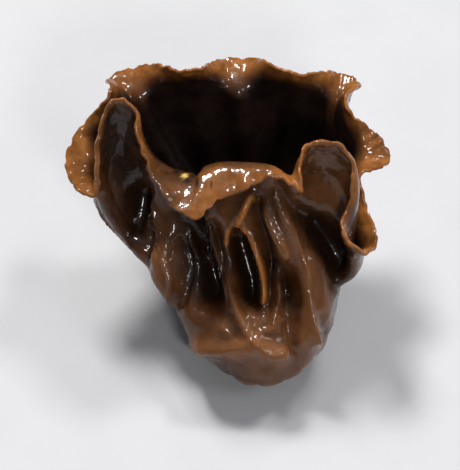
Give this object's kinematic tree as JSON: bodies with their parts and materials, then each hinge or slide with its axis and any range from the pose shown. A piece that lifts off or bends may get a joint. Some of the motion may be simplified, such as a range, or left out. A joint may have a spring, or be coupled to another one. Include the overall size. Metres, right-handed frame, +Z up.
{
  "type": "wood ear mushroom",
  "caption": "Soaked wood ear mushroom: a thin, rubbery brown sheet grown into a deep cup with a ruffled margin and pleated sides, standing on the flat cut of its root",
  "frame": {"origin": "centre of the flat cut at the root, on the surface it stands on", "axes": "+Z up out of the root, -Y toward the pleated front of the cup, +X to the right seen from the front"},
  "size_m": [0.066, 0.0545, 0.055],
  "materials": {
    "flesh": "wet, glossy, translucent brown flesh"
  },
  "bodies": {
    "root": {"wood_ear": "flesh"}
  },
  "joints": []
}
